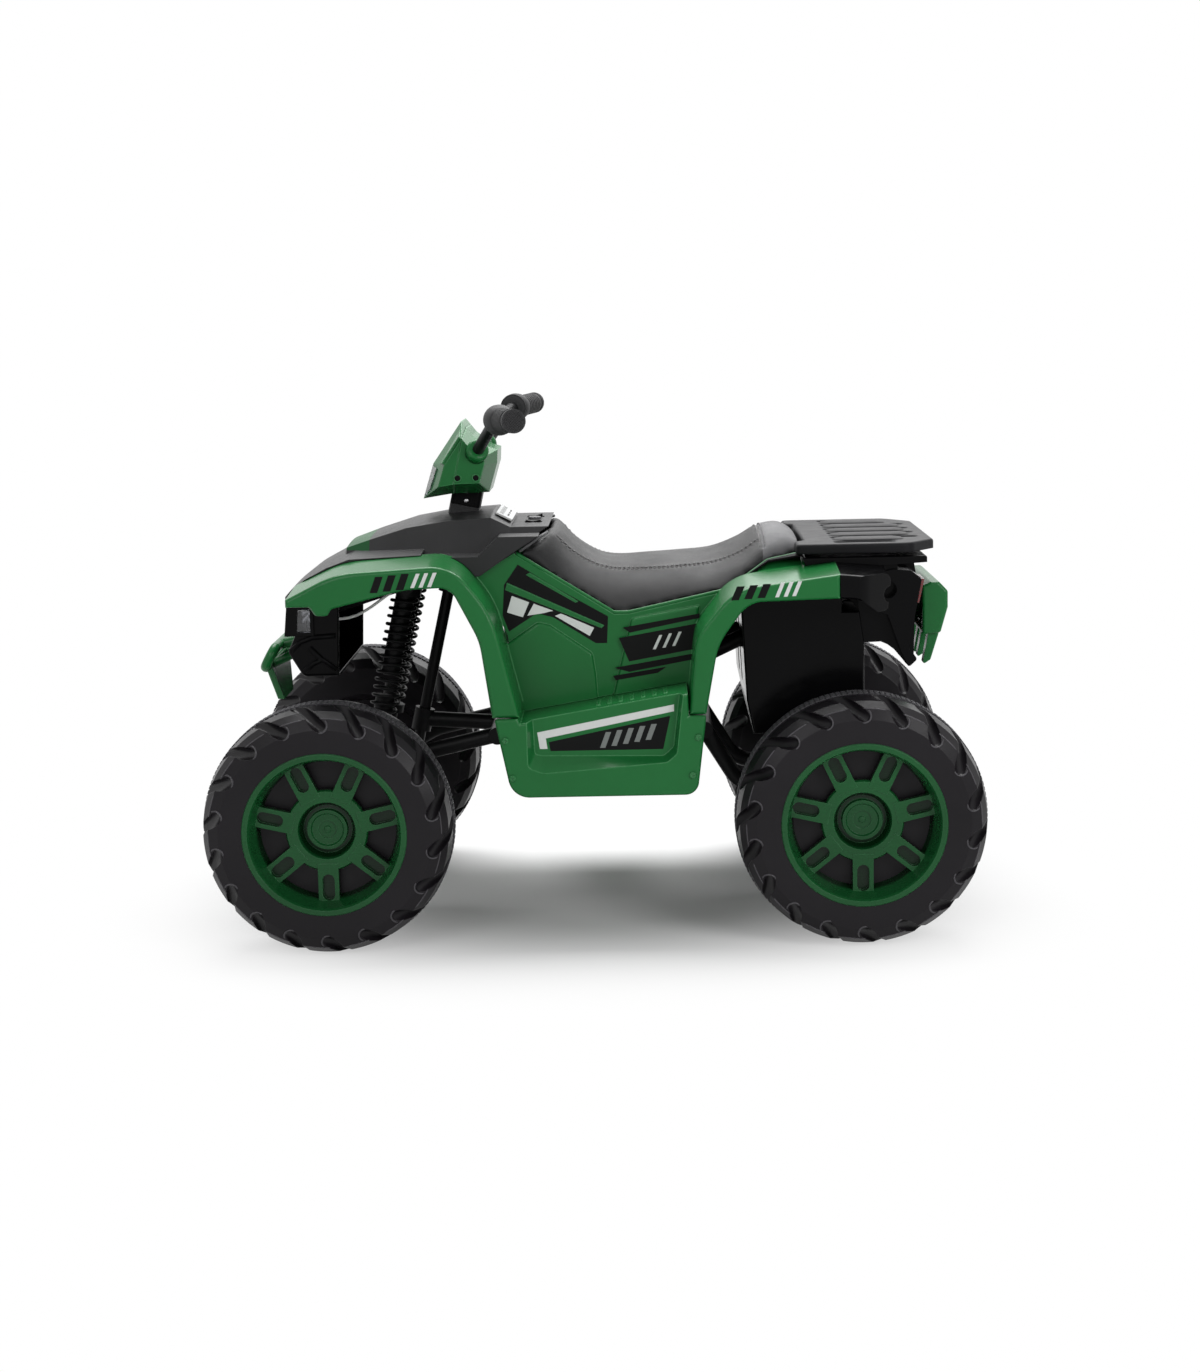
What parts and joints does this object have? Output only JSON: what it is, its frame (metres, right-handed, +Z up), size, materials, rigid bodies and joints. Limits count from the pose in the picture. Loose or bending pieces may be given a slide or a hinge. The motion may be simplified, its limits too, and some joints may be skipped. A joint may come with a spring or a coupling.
{
  "type": "kids quad bike",
  "caption": "Battery ride-on quad bike for a child, with moulded body panels, padded seat, turning handlebar and front wheels, sprung swing arms, rolling wheels, pedal and dash switches.",
  "frame": {"origin": "centre of the quad's box at floor level, midway between the axles and the sides", "axes": "+X towards the rear, +Y towards the vehicle's right side, +Z up; the front faces -X"},
  "size_m": [1.028, 0.66, 0.708],
  "materials": {
    "tyre_plastic": "satin charcoal blow-moulded wheel",
    "traction_rubber": "matte toothed rubber ring",
    "wheel_green": "deep green moulded wheel cover",
    "black_tube": "black powder coat on steel tube",
    "body_green": "metallic green moulded body panel",
    "satin_black": "charcoal grained plastic",
    "gloss_black": "gloss black moulded plastic",
    "pale_panel": "pale instrument plate",
    "button_grey": "grey moulded push button",
    "clear_lens": "clear moulded lens",
    "red_lens": "red moulded lens",
    "seat_leather": "dark grey leatherette",
    "grip_rubber": "ribbed soft grip",
    "spring_black": "black coated spring wire",
    "zinc_steel": "zinc plated steel",
    "battery_case": "sealed lead battery case",
    "wire_white": "white insulated lead"
  },
  "bodies": {
    "chassis": {"battery": "battery_case", "battery_tray": "satin_black", "body_screws": "zinc_steel", "charge_socket": "satin_black", "control_module": "satin_black", "dash_panel": "pale_panel", "front_bumper": "body_green", "front_fascia": "gloss_black", "front_springs": "spring_black", "front_tower": "black_tube", "headlight_lenses": "clear_lens", "headlight_wire": "wire_white", "hood": "satin_black", "left_footboard": "body_green", "left_side_panel": "body_green", "main_frame": "black_tube", "rear_bumper": "body_green", "rear_frame": "black_tube", "rear_inner_body": "gloss_black", "rear_rack": "satin_black", "rear_springs": "spring_black", "right_footboard": "body_green", "right_side_panel": "body_green", "seat_base": "satin_black", "seat_pad": "seat_leather", "switch_housings": "satin_black", "tail_cover": "gloss_black", "tail_light_lenses": "red_lens"},
    "steering": {"steering_column": "black_tube", "handlebar": "black_tube", "left_grip": "grip_rubber", "right_grip": "grip_rubber", "bar_cover_front": "body_green", "bar_cover_rear": "body_green", "column_cover": "satin_black"},
    "front_arm": {"front_swing_arm": "black_tube", "kingpins": "zinc_steel"},
    "left_steer": {"left_knuckle": "black_tube"},
    "right_steer": {"right_knuckle": "black_tube"},
    "tie_bar": {"tie_bar": "black_tube"},
    "rear_arm": {"rear_swing_arm": "black_tube", "rear_axle": "zinc_steel", "gearboxes": "satin_black", "motors": "zinc_steel"},
    "start_button": {"start_button": "button_grey"},
    "direction_switch": {"direction_switch": "satin_black"},
    "speed_switch": {"speed_switch": "satin_black"},
    "pedal": {"accelerator_pedal": "satin_black"},
    "front_left_wheel": {"front_left_tyre": "tyre_plastic", "front_left_traction_band": "traction_rubber", "front_left_wheel_cover": "wheel_green"},
    "front_right_wheel": {"front_right_tyre": "tyre_plastic", "front_right_traction_band": "traction_rubber", "front_right_wheel_cover": "wheel_green"},
    "rear_left_wheel": {"rear_left_tyre": "tyre_plastic", "rear_left_traction_band": "traction_rubber", "rear_left_wheel_cover": "wheel_green"},
    "rear_right_wheel": {"rear_right_tyre": "tyre_plastic", "rear_right_traction_band": "traction_rubber", "rear_right_wheel_cover": "wheel_green"}
  },
  "joints": [
    {"name": "steering_turn", "type": "hinge", "parent": "chassis", "child": "steering", "pos_m": [-0.176, 0, 0.566], "axis": [0.225, 0, 0.9744], "range_deg": [-25, 25]},
    {"name": "front_arm_swing", "type": "hinge", "parent": "chassis", "child": "front_arm", "pos_m": [-0.135, 0, 0.252], "axis": [0, 1, 0], "range_deg": [0, 4], "stiffness_Nm_per_rad": 300, "springref_deg": -6.88, "deforming": ["front_springs"]},
    {"name": "rear_arm_swing", "type": "hinge", "parent": "chassis", "child": "rear_arm", "pos_m": [0.15, 0, 0.255], "axis": [0, -1, 0], "range_deg": [0, 4], "stiffness_Nm_per_rad": 300, "springref_deg": -6.88, "deforming": ["rear_springs"]},
    {"name": "left_knuckle_turn", "type": "hinge", "parent": "front_arm", "child": "left_steer", "pos_m": [-0.349, -0.165, 0.165], "axis": [0.225, 0, 0.9744], "range_deg": [-25, 25]},
    {"name": "right_knuckle_turn", "type": "hinge", "parent": "front_arm", "child": "right_steer", "pos_m": [-0.349, 0.165, 0.165], "axis": [0.225, 0, 0.9744], "range_deg": [-25, 25]},
    {"name": "tie_bar_turn", "type": "hinge", "parent": "left_steer", "child": "tie_bar", "pos_m": [-0.30515, -0.165, 0.15488], "axis": [0.225, 0, 0.9744], "range_deg": [-25, 25]},
    {"name": "front_left_roll", "type": "hinge", "parent": "left_steer", "child": "front_left_wheel", "pos_m": [-0.349, -0.265, 0.165], "axis": [0, 1, 0], "continuous": true},
    {"name": "front_right_roll", "type": "hinge", "parent": "right_steer", "child": "front_right_wheel", "pos_m": [-0.349, 0.265, 0.165], "axis": [0, 1, 0], "continuous": true},
    {"name": "rear_left_roll", "type": "hinge", "parent": "rear_arm", "child": "rear_left_wheel", "pos_m": [0.349, -0.265, 0.165], "axis": [0, 1, 0], "continuous": true},
    {"name": "rear_right_roll", "type": "hinge", "parent": "rear_arm", "child": "rear_right_wheel", "pos_m": [0.349, 0.265, 0.165], "axis": [0, 1, 0], "continuous": true},
    {"name": "start_button_press", "type": "slide", "parent": "chassis", "child": "start_button", "axis": [0, 0, -1], "range_m": [0, 0.0025], "stiffness_N_per_m": 800, "springref_m": -0.0015},
    {"name": "direction_switch_tilt", "type": "hinge", "parent": "chassis", "child": "direction_switch", "pos_m": [-0.0805, -0.042, 0.535], "axis": [0, 1, 0], "range_deg": [-8, 8]},
    {"name": "speed_switch_tilt", "type": "hinge", "parent": "chassis", "child": "speed_switch", "pos_m": [-0.0805, 0.042, 0.535], "axis": [0, 1, 0], "range_deg": [0, 16]},
    {"name": "pedal_press", "type": "hinge", "parent": "chassis", "child": "pedal", "pos_m": [-0.019, 0.222, 0.31816], "axis": [0, -1, 0], "range_deg": [0, 10], "stiffness_Nm_per_rad": 2, "springref_deg": -11.46}
  ],
  "couplings": [
    {"joint": "left_knuckle_turn", "follows": "steering_turn", "ratio": 1},
    {"joint": "right_knuckle_turn", "follows": "steering_turn", "ratio": 1},
    {"joint": "tie_bar_turn", "follows": "steering_turn", "ratio": -1}
  ]
}
